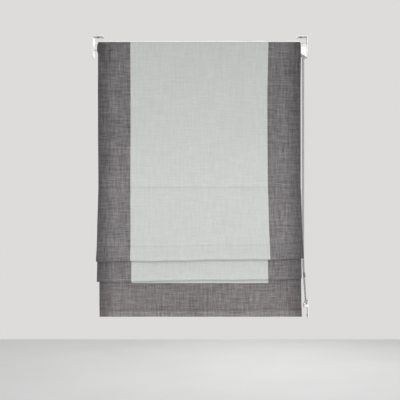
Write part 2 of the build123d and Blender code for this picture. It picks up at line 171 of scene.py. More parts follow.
def stations(left, right, step):
    """Places across the cloth, closer together at its two edges."""
    count = max(1, round((right - left) / step))
    near = edge_steps[-1] + step * 0.4
    middle = [left + (right - left) * i / count for i in range(count + 1)]
    middle = [m for m in middle if m - left > near and right - m > near]
    at_left = [left + f for f in edge_steps]
    at_right = [right - f for f in reversed(edge_steps)]
    return np.array([left, *at_left, *middle, *at_right, right])


# ---- meshes ----
def unit(vectors):
    """The same directions, at length 1."""
    return vectors / np.linalg.norm(vectors, axis=-1, keepdims=True)


def running_length(points):
    steps = np.linalg.norm(np.diff(points, axis=0), axis=1)
    return np.concatenate([[0], np.cumsum(steps)])


def ring_faces(rows, sides, closed=False):
    """Faces over rows of points in rings, with flat ends unless the last row joins the first."""
    faces = []
    for row in range(rows if closed else rows - 1):
        here, there = row * sides, (row + 1) % rows * sides
        for c in range(sides):
            after = (c + 1) % sides
            faces.append((here + c, here + after, there + after, there + c))
    if not closed:
        faces += [tuple(range(sides))[::-1], tuple(range((rows - 1) * sides, rows * sides))]
    return faces


class Shape:
    """Points, faces and flat coordinates of one piece, in millimetres. Skins are its faces'
    material numbers."""

    def __init__(self):
        self.points = []
        self.flat = []
        self.faces = []
        self.skins = []
        self.count = 0

    def add(self, points, faces, flat=None, skin=0):
        points = np.asarray(points, float).reshape(-1, 3)
        flat = points[:, [0, 2]] if flat is None else np.asarray(flat, float).reshape(-1, 2)
        self.points.append(points)
        self.flat.append(flat)
        self.faces += [[i + self.count for i in face] for face in faces]
        self.skins += [skin] * len(faces)
        self.count += len(points)

    def tube(self, centres, radius, sides, up, closed=False, twist=0.0, lobes=0.0):
        """A tube along 3-D centres. Lobes are the three ridges of a laid or braided cord."""
        centres = np.asarray(centres, float)
        if closed:
            along = np.roll(centres, -1, 0) - np.roll(centres, 1, 0)
        else:
            along = np.gradient(centres, axis=0)
        along = unit(along)
        side = unit(np.cross(along, up))
        other = np.cross(side, along)
        length = running_length(centres)[:, None]
        angle = np.arange(sides) * 2 * math.pi / sides
        spin = angle + length * twist
        reach = radius * (1 + lobes * np.cos(3 * angle))
        ring = centres[:, None] + reach[:, None] * (
            np.cos(spin)[..., None] * side[:, None] + np.sin(spin)[..., None] * other[:, None]
        )
        flat = np.stack(np.broadcast_arrays(angle * radius, length), -1)
        self.add(ring, ring_faces(len(centres), sides, closed), flat)

    def blob(self, centre, axes, rings=5, sides=8, skin=0, flat=None):
        """An ellipsoid on three half axes, given as vectors."""
        centre = np.array(centre, float)
        a, b, c = (np.array(v, float) for v in axes)
        points = [centre - a]
        for i in range(1, rings):
            tilt = math.pi * i / rings
            for k in range(sides):
                turn = 2 * math.pi * k / sides
                swing = b * math.cos(turn) + c * math.sin(turn)
                points.append(centre - a * math.cos(tilt) + swing * math.sin(tilt))
        points.append(centre + a)
        last = len(points) - 1
        faces = [(0, 1 + (k + 1) % sides, 1 + k) for k in range(sides)]
        for i in range(rings - 2):
            for k in range(sides):
                p, q = 1 + i * sides, 1 + (i + 1) * sides
                faces.append((p + k, p + (k + 1) % sides, q + (k + 1) % sides, q + k))
        p = 1 + (rings - 2) * sides
        faces += [(p + k, p + (k + 1) % sides, last) for k in range(sides)]
        points = np.array(points)
        flat = None if flat is None else np.broadcast_to(np.array(flat, float), (len(points), 2))
        self.add(points, faces, flat, skin)


def make_object(name, shape, materials, sharp=50.0):
    mesh = bpy.data.meshes.new(name)
    points = np.concatenate(shape.points) * MM
    mesh.from_pydata(points.tolist(), [], shape.faces)
    mesh.polygons.foreach_set("material_index", shape.skins)
    flat = np.concatenate(shape.flat) * MM
    corner_vertex = np.zeros(len(mesh.loops), int)
    mesh.loops.foreach_get("vertex_index", corner_vertex)
    layer = mesh.uv_layers.new(name="cloth")
    layer.uv.foreach_set("vector", flat[corner_vertex].astype(np.float32).ravel())
    for material in materials:
        mesh.materials.append(material)
    mesh.shade_smooth()
    mesh.set_sharp_from_angle(angle=math.radians(sharp))
    mesh.validate()
    obj = bpy.data.objects.new(name, mesh)
    bpy.context.scene.collection.objects.link(obj)
    return obj


def rigid_piece(name, shape, materials, body, node, sharp=50.0):
    """A piece that moves with one body. It stands for a CAD node, or for none."""
    piece = make_object(name, shape, materials, sharp)
    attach(piece, body)
    if node:
        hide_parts(node)


def blend_by(obj, a, b, shares):
    mesh = obj.data
    folded = np.zeros(len(mesh.vertices) * 3, np.float32)
    mesh.vertices.foreach_get("co", folded)
    shares = np.clip(shares, 0.0, 1.0)
    heights = 0.5 - np.sin(np.arcsin(1 - 2 * shares) / 3)
    laid_out = np.zeros((len(shares), 3), np.float32)
    laid_out[:, 2] = -heights
    mesh.vertices.foreach_set("co", laid_out.ravel())
    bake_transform(obj)
    mesh.vertices.foreach_set("co", folded)
    mesh.update()


# ---- materials ----
class Graph:
    """A material's node tree, with short calls for the nodes used here."""

    def __init__(self, name, **sockets):
        self.material = bpy.data.materials.new(name)
        self.material.use_nodes = True
        self.tree = self.material.node_tree
        self.tree.nodes.clear()
        output = self.tree.nodes.new("ShaderNodeOutputMaterial")
        self.shader = self.tree.nodes.new("ShaderNodeBsdfPrincipled")
        self.tree.links.new(self.shader.outputs["BSDF"], output.inputs["Surface"])
        for key, value in sockets.items():
            self.feed(self.shader.inputs[key.replace("_", " ")], value)

    def feed(self, socket, value):
        if isinstance(value, bpy.types.NodeSocket):
            self.tree.links.new(value, socket)
        else:
            socket.default_value = value

    def node(self, kind, inputs=(), output=0, **settings):
        made = self.tree.nodes.new(kind)
        for key, value in settings.items():
            setattr(made, key, value)
        for key, value in dict(inputs).items():
            self.feed(made.inputs[key], value)
        return made.outputs[output]

    def math(self, operation, a, b=0.0):
        return self.node("ShaderNodeMath", {0: a, 1: b}, operation=operation)

    def place(self, scale, uv=False):
        if uv:
            source = self.node("ShaderNodeUVMap", uv_map="cloth")
        else:
            source = self.node("ShaderNodeTexCoord", output="Object")
        return self.node("ShaderNodeMapping", {"Vector": source, "Scale": scale})

    def noise(self, vector, detail=2.0, rough=0.5):
        inputs = {"Vector": vector, "Scale": 1.0, "Detail": detail, "Roughness": rough}
        return self.node("ShaderNodeTexNoise", inputs)

    def span(self, value, low, high, to_low=0.0, to_high=1.0, soft=True):
        """A value's range from low to high, turned into one from to_low to to_high."""
        inputs = {0: value, 1: low, 2: high, 3: to_low, 4: to_high}
        way = "SMOOTHSTEP" if soft else "LINEAR"
        return self.node("ShaderNodeMapRange", inputs, interpolation_type=way)

    def mix(self, share, a, b):
        """Colour a where share is 0, and b where it is 1. Sockets 6, 7 and 2 are the colour ones."""
        return self.node("ShaderNodeMix", {0: share, 6: a, 7: b}, output=2, data_type="RGBA")

    def waves(self, pitch):
        """The over and under of a plain weave, from -1 to 1."""
        per_metre = 2 * math.pi / pitch
        wave = self.node("ShaderNodeSeparateXYZ", {0: self.place((per_metre, per_metre, 1), uv=True)})
        return self.math("MULTIPLY", self.math("SINE", wave), self.math("SINE", wave.node.outputs[1]))

    def scaled(self, colour, factor):
        if isinstance(colour, tuple):
            colour = colour[:3]
        return self.node("ShaderNodeVectorMath", {0: colour, "Scale": factor}, operation="SCALE")

    def bump(self, height, distance, strength, normal=None):
        inputs = {"Height": height, "Distance": distance, "Strength": strength}
        if normal is not None:
            inputs["Normal"] = normal
        return self.node("ShaderNodeBump", inputs)

    def finish(self, colour, roughness=None, normal=None):
        for key, value in (("Base Color", colour), ("Roughness", roughness), ("Normal", normal)):
            if value is not None:
                self.feed(self.shader.inputs[key], value)
        return self.material


def rgb(r, g, b):
    return (r, g, b, 1.0)


def slub_cloth(name, dark, light, contrast, edge_shade, top_shade, lines=(), hem=False):
    """Linen-look cloth, between a dark and a light colour. Its threads run along the flat cloth's
    two directions. Painted shade darkens it at its side hems, near its top and at its needle lines."""
    g = Graph(name, Sheen_Weight=0.12, Sheen_Roughness=0.5, Specular_IOR_Level=0.25)

    def crossed(along, across, detail):
        """Zero-mean noise of weft and warp threads, in waves per metre along and across the thread."""
        weft = g.noise(g.place((along, across, 1), uv=True), detail=detail, rough=0.6)
        warp = g.noise(g.place((across, along * 0.8, 4), uv=True), detail=detail, rough=0.6)
        return g.math("SUBTRACT", g.math("ADD", weft, warp), 1.0)

    streaks = crossed(13, 165, 3.0)
    threads = crossed(22, 330, 3.0)
    fine = crossed(45, 900, 1.0)
    slub_weft = g.span(g.noise(g.place((26, 420, 3), uv=True), detail=2.0), 0.57, 0.72)
    slub_warp = g.span(g.noise(g.place((420, 20, 5), uv=True), detail=2.0), 0.57, 0.72)
    slubs = g.math("ADD", slub_weft, slub_warp)
    cloudy = g.math("SUBTRACT", g.noise(g.place((6, 6, 1), uv=True), detail=2.0), 0.5)
    mixed = 0.40
    for part, weight in ((streaks, 0.85), (threads, 0.9), (fine, 0.9), (slubs, 0.34), (cloudy, 0.3)):
        mixed = g.math("ADD", mixed, g.math("MULTIPLY", part, contrast * weight))
    colour = g.mix(g.span(mixed, 0.0, 1.0, soft=False), rgb(*dark), rgb(*light))
    across = g.node("ShaderNodeSeparateXYZ", {0: g.node("ShaderNodeUVMap", uv_map="cloth")})
    along = across.node.outputs[1]
    inward = g.math("SUBTRACT", half_width * MM, g.math("ABSOLUTE", across))
    # Painted shade: darker towards the side edges and at the outermost few millimetres, towards the top and
    # along the top edge, and along the needle lines.
    shade = g.span(inward, 0.0, 0.056, edge_shade, 1.0)
    shades = [
        g.span(along, 0.02, 0.42, top_shade, 1.0, soft=False),
        g.span(along, 0.0, 0.006, 0.88, 1.0),
        g.span(inward, 0.0, 0.0035, 0.9, 1.0),
    ]
    for place, width, depth in lines:
        from_line = g.math("ABSOLUTE", g.math("SUBTRACT", along, place * MM))
        shades.append(g.span(from_line, 0.0, width * MM, depth, 1.0))
    if hem:
        # Painted light: brighter below the hem's stitches, as if lit from below; painted shade along the
        # stitches and above them.
        from_stitch = g.math("SUBTRACT", along, (border_start + hem_stitch) * MM)
        shades.append(g.span(from_stitch, -0.002, 0.009, 0.94, 1.13))
        shades.append(g.span(g.math("ABSOLUTE", from_stitch), 0.0, 0.006, 0.86, 1.0))
    for factor in shades:
        shade = g.math("MULTIPLY", shade, factor)
    colour = g.scaled(colour, shade)
    weave = g.waves(0.0011)
    height = g.math("ADD", g.math("MULTIPLY", weave, 0.3), g.math("MULTIPLY", fine, 0.8))
    height = g.math("ADD", height, g.math("MULTIPLY", slubs, 0.9))
    rough = g.span(threads, -0.3, 0.3, 0.82, 0.96, soft=False)
    return g.finish(colour, rough, g.bump(height, 0.00022, 0.7))


def plain_cloth(name, colour, pitch=0.0007):
    """Plain weave for the lining, tapes and pockets."""
    g = Graph(name, Sheen_Weight=0.08, Specular_IOR_Level=0.2)
    weave = g.waves(pitch)
    weft = g.noise(g.place((60, 1400, 1), uv=True))
    warp = g.noise(g.place((1400, 60, 1), uv=True))
    fine = g.math("ADD", weft, warp)
    cloudy = g.noise(g.place((9, 9, 1), uv=True), detail=3.0)
    tone = g.math("ADD", g.math("MULTIPLY", fine, 0.10), g.math("MULTIPLY", cloudy, 0.08))
    tone = g.math("ADD", tone, 0.86)
    height = g.math("ADD", g.math("MULTIPLY", weave, 0.5), fine)
    rough = g.span(fine, 0.7, 1.3, 0.82, 0.94, soft=False)
    return g.finish(g.scaled(rgb(*colour), tone), rough, g.bump(height, 0.00012, 0.6))


def thread(name, colour):
    """Sewing thread, twisted."""
    g = Graph(name, Sheen_Weight=0.2, Specular_IOR_Level=0.3)
    ply = g.noise(g.place((1800, 1800, 1800)), detail=1.0)
    shade = g.scaled(rgb(*colour), g.span(ply, 0.3, 0.7, 0.85, 1.1, soft=False))
    return g.finish(shade, 0.75, g.bump(ply, 0.0001, 0.5))


def painted(name, colour, roughness, grain, wear):
    """Powder coat or paint: orange peel, faint dirt, and edges rubbed through."""
    g = Graph(name, Specular_IOR_Level=0.5)
    peel = g.noise(g.place((grain, grain, grain)), detail=2.0)
    dirt = g.noise(g.place((22, 22, 22)), detail=4.0, rough=0.6)
    edges = g.node("ShaderNodeNewGeometry", output="Pointiness")
    rubbed = g.math("MULTIPLY", g.span(edges, 0.53, 0.60), g.span(dirt, 0.45, 0.7))
    tone = g.scaled(rgb(*colour), g.span(dirt, 0.3, 0.75, 1.0, 0.975))
    tone = g.mix(g.math("MULTIPLY", rubbed, wear), tone, rgb(0.55, 0.55, 0.56))
    soft_edge = g.node("ShaderNodeBevel", {"Radius": 0.0004})
    rough = g.span(dirt, 0.3, 0.75, roughness * 0.85, roughness * 1.25)
    return g.finish(tone, rough, g.bump(peel, 0.00006, 0.35, soft_edge))


def moulded(name, colour, roughness, bevel=0.0003):
    """Injection-moulded plastic: fine spark texture, slight shrink marks, softened edges."""
    g = Graph(name, Specular_IOR_Level=0.45)
    spark = g.noise(g.place((900.0, 900.0, 900.0)), detail=2.0)
    sink = g.noise(g.place((60, 60, 60)), detail=2.0)
    dust = g.noise(g.place((240, 240, 240)), detail=3.0)
    tone = g.scaled(rgb(*colour), g.span(g.math("ADD", sink, dust), 0.7, 1.3, 0.94, 1.03))
    soft_edge = g.node("ShaderNodeBevel", {"Radius": bevel})
    height = g.math("ADD", g.math("MULTIPLY", spark, 0.3), sink)
    rough = g.span(dust, 0.3, 0.7, roughness * 0.85, roughness * 1.2)
    return g.finish(tone, rough, g.bump(height, 0.0001, 0.3, soft_edge))


def drawn_metal(name, colour, roughness, along):
    """Mill-finish metal with draw lines along one axis: 0, 1 or 2 for x, y or z."""
    g = Graph(name, Metallic=1.0)
    scale = [1500.0, 1500.0, 1500.0]
    scale[along] = 12.0
    lines = g.noise(g.place(tuple(scale)), detail=3.0, rough=0.6)
    stain = g.noise(g.place((40, 40, 40)), detail=3.0)
    tone = g.scaled(rgb(*colour), g.span(stain, 0.3, 0.7, 0.86, 1.03))
    rough = g.span(lines, 0.3, 0.7, roughness * 0.7, roughness * 1.3)
    soft_edge = g.node("ShaderNodeBevel", {"Radius": 0.0003})
    return g.finish(tone, rough, g.bump(lines, 0.00004, 0.5, soft_edge))


def pultruded(name, colour):
    """Glass fibre rod, with its fibres along x."""
    g = Graph(name, Specular_IOR_Level=0.4)
    fibres = g.noise(g.place((14, 2200, 2200)), detail=3.0, rough=0.6)
    tone = g.scaled(rgb(*colour), g.span(fibres, 0.3, 0.7, 0.84, 1.05))
    return g.finish(tone, g.span(fibres, 0.3, 0.7, 0.4, 0.6), g.bump(fibres, 0.00005, 0.6))


lining = plain_cloth("lining_cloth", (0.86, 0.84, 0.79))
tape = plain_cloth("tape_cloth", (0.90, 0.89, 0.85), 0.0010)
pale_thread = thread("pale_thread", (0.58, 0.62, 0.59))
dark_thread = thread("dark_thread", (0.11, 0.105, 0.105))
white_thread = thread("white_thread", (0.85, 0.84, 0.80))
braid = thread("lift_cord", (0.88, 0.87, 0.83))
chain_string = thread("chain_string", (0.09, 0.09, 0.09))
chain_plastic = moulded("chain_plastic", (0.40, 0.39, 0.39), 0.28, bevel=0.0001)
# A darker copy of the chain plastic, for the beads' ends: painted shade.
painted_shade_plastic = moulded("chain_plastic_painted_shade", (0.16, 0.155, 0.155), 0.5, bevel=0.0001)
grey_plastic = moulded("grey_plastic", (0.19, 0.19, 0.195), 0.45)

# ---- camera ----
camera_data = bpy.data.cameras.new("camera")
camera_data.sensor_fit = "HORIZONTAL"
camera_data.angle = math.radians(30.18)
camera_data.clip_end = 50
camera = bpy.data.objects.new("camera", camera_data)
camera.location = (0.0019, -2.2178, -0.4886)
camera.rotation_euler = (math.radians(90), 0, 0)
bpy.context.scene.collection.objects.link(camera)
bpy.context.scene.camera = camera

# ---- the bead chain ----
bead_pitch = 6.0
bead_radius = 2.25
bead_count = 265
bead_rings, bead_sides = 8, 12
string_radius = 0.55
# Wheels: x and z of the middle, and the radius of the circle that the chain takes.
sprocket = (310.0, -36.0, 13 * bead_pitch / (2 * math.pi))
pulley = (318.5, -798.0, 8.0)
bend = (10.4, -680.0)  # where each strand bends towards the tensioner: distance from y = 0, and z
bend_softness = 0.45  # share of the way from there to the pulley that is curved
connector_middle, connector_half = -712.0, 8.0
connector_low, connector_high = connector_middle - connector_half, connector_middle + connector_half


def tangent_angle(wheel, side):
    """Angle from straight up of the point where a line from the bend touches a wheel."""
    rise = bend[1] - wheel[1]
    reach = math.hypot(bend[0], rise)
    return math.atan2(bend[0], rise) + side * math.acos(wheel[2] / reach)


def on_wheel(wheel, angle):
    return wheel[0], wheel[2] * math.sin(angle), wheel[1] + wheel[2] * math.cos(angle)


def chain_loop():
    """Dense points round the whole chain, from the top of the sprocket down its front side."""
    long_steps, top_steps, steps = 200, 60, 40
    top_angle = tangent_angle(sprocket, -1)
    foot_angle = tangent_angle(pulley, 1)
    side = [on_wheel(sprocket, top_angle * i / top_steps) for i in range(top_steps + 1)]
    top = np.array(side[-1])
    corner = np.array((sprocket[0], *bend))
    foot = np.array(on_wheel(pulley, foot_angle))
    reach = bend_softness * np.linalg.norm(foot - corner)
    before = corner + (top - corner) / np.linalg.norm(top - corner) * reach
    after = corner + (foot - corner) / np.linalg.norm(foot - corner) * reach
    for i in range(1, long_steps + 1):
        side.append(top + (before - top) * i / long_steps)
    for i in range(1, steps + 1):
        t = i / steps
        side.append(before * (1 - t) ** 2 + corner * 2 * t * (1 - t) + after * t * t)
    for i in range(1, steps + 1):
        side.append(after + (foot - after) * i / steps)
    for i in range(1, steps + 1):
        side.append(on_wheel(pulley, foot_angle + (math.pi - foot_angle) * i / steps))
    side = np.array(side, float)
    front = side * (1, -1, 1)
    back = side[::-1][1:-1]
    return np.concatenate([front, back])


def evenly(points, count):
    """Count places at equal distances round a closed line."""
    closed = np.concatenate([points, points[:1]])
    length = running_length(closed)
    wanted = np.arange(count) * length[-1] / count
    return np.stack([np.interp(wanted, length, closed[:, i]) for i in range(3)], 1)


def chain_beads(loop):
    """Beads in a row. Their ends, by the string, take a darker plastic: painted shade."""
    painted_shade_faces = [1] * (2 * bead_sides)
    beads = evenly(loop, bead_count)
    shape = Shape()
    headings = unit(np.roll(beads, -1, 0) - np.roll(beads, 1, 0))
    for place, heading in zip(beads, headings):
        if connector_low < place[2] < connector_high and place[1] < 0:
            continue
        across = unit(np.cross(heading, (1, 0, 0)))
        other = np.cross(heading, across)
        size = bead_radius * rng.uniform(0.985, 1.0)
        first_face = len(shape.skins)
        shape.blob(place, (heading * size, across * size, other * size), bead_rings, bead_sides)
        shape.skins[first_face:first_face + len(painted_shade_faces)] = painted_shade_faces
        shape.skins[-len(painted_shade_faces):] = painted_shade_faces
    return shape


loop = chain_loop()
bead_finishes = [chain_plastic, painted_shade_plastic]
rigid_piece("bead_chain_beads", chain_beads(loop), bead_finishes, "root", "bead_chain", 80)
string = Shape()
string_line = evenly(loop, 2 * bead_count)
string.tube(string_line, string_radius, 8, up=(1, 0.02, 0), closed=True, twist=0.9, lobes=0.12)
rigid_piece("bead_chain_string", string, [chain_string], "root", "bead_chain", 80)


def turned(start, heading, helper, profile, sides):
    """Rings of a turned form: (distance, radius) pairs from start along heading. A radius may also
    be one number for each side."""
    side = unit(np.cross(heading, helper))
    other = np.cross(heading, side)
    angle = np.arange(sides) * 2 * math.pi / sides
    spokes = np.cos(angle)[:, None] * side + np.sin(angle)[:, None] * other
    rings = []
    for distance, radius in profile:
        radius = np.broadcast_to(radius, (sides,))[:, None]
        rings.append(np.array(start) + heading * distance + radius * spokes)
    return np.array(rings)


def lathe(shape, start, heading, profile, sides=20):
    """Add a turned form to shape. Its faces point inwards, as a tube's do."""
    *quads, near_end, far_end = ring_faces(len(profile), sides)
    faces = [(quad[0], *quad[:0:-1]) for quad in quads] + [near_end[::-1], far_end[::-1]]
    shape.add(turned(start, heading, (1, 0, 0), profile, sides), faces)


def chain_connector():
    """A two-part snap connector: a barrel and a socket, a little out of line with each other. Their
    profiles are (distance, radius) pairs."""
    low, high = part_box("chain_connector")
    centre = np.array((low + high) / 2) / MM
    heading = unit(np.array((0.072, 0.09, -1.0)))
    shape = Shape()
    barrel = [
        (0, 0.9), (0, 1.7), (0.5, 2.5), (1.2, 3.0), (2.2, 3.1),
        (5.6, 3.1), (6.4, 2.7), (7.0, 2.0), (7.6, 1.7), (9.2, 1.7),
    ]
    socket = [
        (0, 1.9), (0, 2.7), (0.4, 3.1), (1.0, 3.3), (1.8, 3.0), (2.4, 3.3),
        (5.6, 3.3), (6.6, 2.9), (7.4, 2.1), (7.9, 1.2), (7.9, 0.7),
    ]
    lathe(shape, centre - heading * connector_half + np.array((-0.3, 0, 0)), heading, barrel)
    lathe(shape, centre + heading * 0.1 + np.array((0.1, 0, 0)), heading, socket)
    return shape


connector = chain_connector()
rigid_piece("chain_connector_snap", connector, [grey_plastic], "root", "chain_connector", 40)

# ---- lift cords ----
cord_runs = {
    "upper": ((7.5, -44.0), (1.5, -454.5), "root", "rod_1_group"),
    "middle": ((1.5, -454.5), (-0.7, -538.5), "rod_1_group", "rod_2_group"),
    "lower": ((-0.7, -538.5), (4.3, -555.5), "rod_2_group", "foot"),
}
cord_step = 0.9
for stage_name, (start, end, upper_body, lower_body) in cord_runs.items():
    shape = Shape()
    count = round(math.dist(start, end) / cord_step)
    shares = np.linspace(0, 1, count + 1)
    for x in cord_places:
        line = np.stack([
            np.full(count + 1, x),
            start[0] + (end[0] - start[0]) * shares,
            start[1] + (end[1] - start[1]) * shares,
        ], 1)
        shape.tube(line, cord_radius, 9, up=(0, 1, 0), twist=1.3, lobes=0.13)
    cords = make_object("lift_cords_" + stage_name + "_braided", shape, [braid], sharp=80)
    heights = np.concatenate(shape.points)[:, 2]
    blend_by(cords, upper_body, lower_body, (start[1] - heights) / (start[1] - end[1]))
    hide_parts("lift_cords_" + stage_name)


# ---- cloth ----
# How far each length of cloth hangs out of true: drops below the ceiling, and there the drift to
# the right of its left edge, left seam, right seam and right edge. Real cloth is never quite square.
drifts = {
    "upper": ([0, 60, 160, 300, 440], [
        [0, -0.8, -1.4, -1.4, -0.6], [-0.8, -0.5, -0.2, -0.4, -1.4],
        [1.8, 0.2, -2.0, -1.6, -0.2], [0, 1.4, 0.8, 1.2, 1.6],
    ]),
    "first_fold": ([440, 480, 560, 620, 670], [
        [-0.6, -0.6, -0.4, 0.6, 0.8], [-1.4, -0.6, 1.6, 3.2, 3.6],
        [-0.2, 0.6, 0.4, 1.4, 1.2], [1.6, 2.4, 2.0, 2.2, 2.8],
    ]),
    "second_fold": ([540, 640, 740], [
        [0.0, -0.6, -0.8], [2.4, 4.0, 4.2], [-0.6, -2.4, -2.2], [0.8, 0.6, 0.2],
    ]),
    "lower": ([560, 700, 736, 800, 836], [
        [0, 1.6, 2.4, 3.0, 3.6], [1.0, 2.0, 3.0, 3.2, 3.8],
        [0, 1.0, 1.4, 3.2, 4.0], [0, 2.4, 3.2, 3.6, 5.0],
    ]),
}
drifts["bottom_border"] = drifts["lower"]
drift_marks = (-half_width, -seam_x, seam_x, half_width)


def drift(name, x, z):
    """Sideways drift at places x across the cloth and heights z."""
    drops, lines = drifts[name]
    at_marks = [np.interp(-z, drops, line) for line in lines]
    out = at_marks[0]
    for i, (left, right) in enumerate(zip(drift_marks, drift_marks[1:])):
        share = smooth((x - left) / (right - left))
        out = np.where(x >= left, at_marks[i] + (at_marks[i + 1] - at_marks[i]) * share, out)
    return out


turn_onset = 0.05  # share of the way behind a pleat in which the face cloth gets its lead
turn_end = 0.94  # share of the way there at which the cloth is with the lower rod
upper_held = 30.0  # length at the rail that doesn't move with the first rod


class Run:
    """One length of cloth or tape: its path, its folds and how it moves."""

    def __init__(self, name, points, radii, start_length, bodies, face_lead=None, spacing=6.0):
        self.name = name
        self.bodies = bodies
        self.places, self.headings, self.lengths = rounded_path(points, radii, spacing)
        self.start_length = start_length
        self.total = self.lengths[-1]
        self.nose = None
        if face_lead is not None:
            self.nose = float(self.lengths[np.argmin(self.places[:, 1])])
            self.face_lead = face_lead

    def fold(self, length):
        """1 at the pleat's lowest edge and 0 at its rods."""
        if self.nose is None:
            return np.zeros(np.shape(length))
        down = smooth(length / self.nose)
        up = smooth((self.total - length) / (self.total - self.nose))
        return np.where(length < self.nose, down, up)

    def share(self, length, face):
        """Share of the lower body's motion at a length along the path. In front of a pleat's lowest
        edge the cloth hangs from the upper rod; behind it, it turns over as the lower rod goes down.
        The face cloth goes a little ahead of the lining there, so that it comes out in front of it."""
        if self.nose is None:
            return smooth((length - upper_held) / (self.total - upper_held))
        behind = np.clip((length - self.nose) / (self.total - self.nose), 0.0, 1.0)
        ahead = self.face_lead * smooth(behind / turn_onset) if face else 0.0
        return np.minimum((behind + ahead) / turn_end, 1.0)

    def at(self, length):
        """Place and normal of the path at lengths along it."""
        place = np.stack([np.interp(length, self.lengths, self.places[:, i]) for i in (0, 1)], -1)
        heading = np.stack([np.interp(length, self.lengths, self.headings[:, i]) for i in (0, 1)], -1)
        heading = unit(heading)
        return place, np.stack([heading[..., 1], -heading[..., 0]], -1)

    def surface(self, x, length, offset):
        """Points of the cloth, offset from the path towards the room side of the cloth."""
        place, normal = self.at(length)
        dx, dy, dz = drape(self, x, length, place[..., 1])
        y = place[..., 0] + offset * normal[..., 0] + dy
        z = place[..., 1] + offset * normal[..., 1] + dz
        return np.stack(np.broadcast_arrays(x + dx, y, z), -1)


def ridge(value, width):
    return np.exp(-((value / width) ** 2))


def drape(run, x, length, z):
    """Displacement of the cloth's path: drift, slack ripples, needle lines and tilted wavy pleats.
    Ripples are a height times sines of x and of the length or drop, all in millimetres, and they
    fade out towards rods, seams and hems."""
    dy = np.zeros(np.broadcast_shapes(np.shape(x), np.shape(z)))
    dz = np.zeros_like(dy)
    if run.name == "tape":
        return dy, dy, dz
    dx = drift(run.name, x, z)
    fold = run.fold(length)
    left = run.total - length
    if run.name == "upper":
        free = smooth((length - 34) / 60) * smooth(left / 40)
        dy += free * 0.55 * np.sin(x / 41.0 + 0.9) * np.sin(length / 70.0 + 0.4)
        dy += free * 0.45 * np.sin(x / 87.0 - 1.1 + length / 310.0)
        dy += free * smooth((np.abs(x) - 262) / 38)  # side hems ease back
        dy += 1.1 * ridge(left, 2.2) - 0.9 * ridge(left - 7.0, 3.6)  # sunk at the rod, proud above it
    elif run.name == "first_fold":
        free = smooth(length / 30) * smooth(left / 40)
        dy += free * 0.6 * np.sin(x / 52.0 + 0.3) * np.sin(length / 48.0)
        dy += 0.9 * free * smooth((np.abs(x) - 265) / 35) * (1 - fold)
        dy += 1.1 * ridge(length, 3.4)
        dy += 0.9 * ridge(length - pleat_line, 2.6)
        dy -= 0.5 * ridge(length - pleat_line - 7.0, 5.0)
        dz += fold * (x * 4.6 / half_width + 0.9 * np.sin(x / 46.0 + 0.5) + 0.5 * np.sin(x / 19.0))
    elif run.name == "second_fold":
        dy += fold * 0.6 * np.sin(x / 57.0 + 1.9)
        wavy = 0.8 * np.sin(x / 61.0 + 2.1)
        dz += fold * (x * 4.4 / half_width + wavy + 0.4 * np.sin(x / 23.0 + 1.0))
    else:
        drop = -z
        free = smooth((drop - 600) / 80) * smooth((hem_drop - drop) / 20)
        dy += free * 0.55 * np.sin(x / 66.0 + 2.2) * np.sin(drop / 38.0)
        wander = 0.9 * np.sin(x / 74.0 + 1.0) + 0.5 * np.sin(x / 29.0)
        front = smooth((hem_foot - length) / 8) if run.name == "bottom_border" else 1.0
        dy += front * 0.9 * ridge(drop - hem_drop - wander, 1.8)  # the hem's stitches pull it in
        puckers = 0.6 - 0.4 * np.sin(x / 120.0)
        dy += front * 0.45 * ridge(drop - hem_drop + 7.0 - wander, 2.2) * puckers
        if run.name == "bottom_border":
            dy += 0.5 * ridge(length, 1.4)
            return dx, dy, dz
    dy += 0.4 * ridge(np.abs(x) - seam_x, 1.1) * (1 - 0.7 * fold)  # seams of the side borders
    return dx, dy, dz


def cloth_shape(run, across, rear, face, edge=None):
    """A closed sheet between two offsets of the path, over places across it."""
    shape = Shape()
    rows, columns = len(run.lengths), len(across)
    across_row, length_column = across[None, :], run.lengths[:, None]
    grid = []
    for offset in (face, rear):
        points = run.surface(across_row, length_column, offset)
        if edge is not None:
            points[..., 0] += edge(across_row, points[..., 2])
        grid.append(points)
    flat = np.stack(np.broadcast_arrays(across_row, run.start_length + length_column), -1)
    points = np.concatenate([g.reshape(-1, 3) for g in grid])
    flats = np.concatenate([flat.reshape(-1, 2)] * 2)
    layer = rows * columns
    faces = []

    def at(r, c, back=0):
        return back * layer + r * columns + c

    for r in range(rows - 1):
        for c in range(columns - 1):
            faces.append((at(r, c), at(r + 1, c), at(r + 1, c + 1), at(r, c + 1)))
            faces.append((at(r, c, 1), at(r, c + 1, 1), at(r + 1, c + 1, 1), at(r + 1, c, 1)))
    bottom, right = rows - 1, columns - 1
    for r in range(bottom):
        faces.append((at(r, 0), at(r, 0, 1), at(r + 1, 0, 1), at(r + 1, 0)))
        faces.append((at(r, right), at(r + 1, right), at(r + 1, right, 1), at(r, right, 1)))
    for c in range(right):
        faces.append((at(0, c), at(0, c + 1), at(0, c + 1, 1), at(0, c, 1)))
        faces.append((at(bottom, c), at(bottom, c, 1), at(bottom, c + 1, 1), at(bottom, c + 1)))
    shape.add(points, faces, flats)
    return shape


stitch_jitter = 0.12
stitch_half_width, stitch_half_height = 0.3, 0.26


